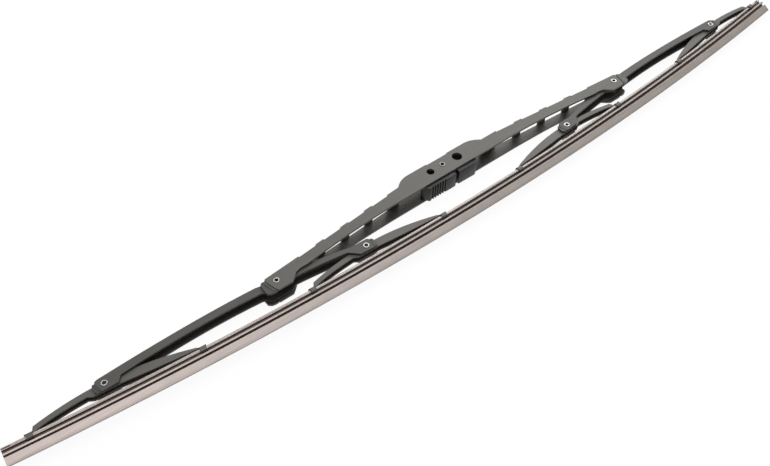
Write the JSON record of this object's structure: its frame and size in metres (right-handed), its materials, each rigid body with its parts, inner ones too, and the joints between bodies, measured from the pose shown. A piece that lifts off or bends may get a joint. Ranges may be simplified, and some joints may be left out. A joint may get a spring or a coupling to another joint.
{
  "type": "windscreen wiper blade",
  "caption": "Bracketed wiper blade: a vented steel bridge with an open saddle, rocking yokes with claws, and a rubber wiping strip stiffened by spring-steel rails.",
  "frame": {"origin": "on the axis of the larger side-pin hole, halfway between the saddle's two ears", "axes": "+X along the blade, +Y from the wiping lip to the bridge's back, +Z across the blade and up as it lies on its side; -Y points at the glass"},
  "size_m": [0.6015, 0.0462, 0.0144],
  "materials": {
    "bridge_steel": "satin",
    "yoke_steel": "satin",
    "claw_steel": "satin",
    "rivet_steel": "bright",
    "rail_steel": "bright",
    "strip_rubber": "matt",
    "bush_plastic": "satin",
    "connector_plastic": "satin"
  },
  "bodies": {
    "bridge": {"primary_bridge": "bridge_steel", "centre_rivet": "rivet_steel", "bridge_rivet_left": "rivet_steel", "bridge_rivet_right": "rivet_steel", "secondary_bushes_left": "bush_plastic", "secondary_bushes_right": "bush_plastic", "wiping_strip": "strip_rubber", "rail_upper": "rail_steel", "rail_lower": "rail_steel"},
    "connector": {"arm_connector": "connector_plastic"},
    "yoke_left": {"secondary_yoke_left": "yoke_steel", "yoke_rivet_1": "rivet_steel", "yoke_rivet_2": "rivet_steel", "yoke_bushes_1": "bush_plastic", "yoke_bushes_2": "bush_plastic"},
    "yoke_right": {"secondary_yoke_right": "yoke_steel", "yoke_rivet_3": "rivet_steel", "yoke_rivet_4": "rivet_steel", "yoke_bushes_3": "bush_plastic", "yoke_bushes_4": "bush_plastic"},
    "claws_1": {"clawed_yoke_1": "claw_steel"},
    "claws_2": {"clawed_yoke_2": "claw_steel"},
    "claws_3": {"clawed_yoke_3": "claw_steel"},
    "claws_4": {"clawed_yoke_4": "claw_steel"}
  },
  "joints": [
    {"name": "yoke_left_rock", "type": "hinge", "parent": "bridge", "child": "yoke_left", "pos_m": [-0.1435, -0.01045, 0], "axis": [0, 0, 1], "range_deg": [-6, 6], "stiffness_Nm_per_rad": 0.3, "deforming": ["wiping_strip", "rail_upper", "rail_lower"]},
    {"name": "yoke_right_rock", "type": "hinge", "parent": "bridge", "child": "yoke_right", "pos_m": [0.1334, -0.01045, 0], "axis": [0, 0, 1], "range_deg": [-6, 6], "stiffness_Nm_per_rad": 0.3, "deforming": ["wiping_strip", "rail_upper", "rail_lower"]},
    {"name": "claws_1_rock", "type": "hinge", "parent": "yoke_left", "child": "claws_1", "pos_m": [-0.249, -0.00974, 0], "axis": [0, 0, 1], "range_deg": [-4, 4], "stiffness_Nm_per_rad": 0.1, "deforming": ["wiping_strip", "rail_upper", "rail_lower"]},
    {"name": "claws_2_rock", "type": "hinge", "parent": "yoke_left", "child": "claws_2", "pos_m": [-0.0879, -0.02028, 0], "axis": [0, 0, 1], "range_deg": [-4, 4], "stiffness_Nm_per_rad": 0.1, "deforming": ["wiping_strip", "rail_upper", "rail_lower"]},
    {"name": "claws_3_rock", "type": "hinge", "parent": "yoke_right", "child": "claws_3", "pos_m": [0.0778, -0.02028, 0], "axis": [0, 0, 1], "range_deg": [-4, 4], "stiffness_Nm_per_rad": 0.1, "deforming": ["wiping_strip", "rail_upper", "rail_lower"]},
    {"name": "claws_4_rock", "type": "hinge", "parent": "yoke_right", "child": "claws_4", "pos_m": [0.2389, -0.00974, 0], "axis": [0, 0, 1], "range_deg": [-4, 4], "stiffness_Nm_per_rad": 0.1, "deforming": ["wiping_strip", "rail_upper", "rail_lower"]},
    {"name": "connector_swing", "type": "hinge", "parent": "bridge", "child": "connector", "pos_m": [-0.01185, 0.00035, 0], "axis": [0, 0, 1], "range_deg": [-20, 20]}
  ]
}
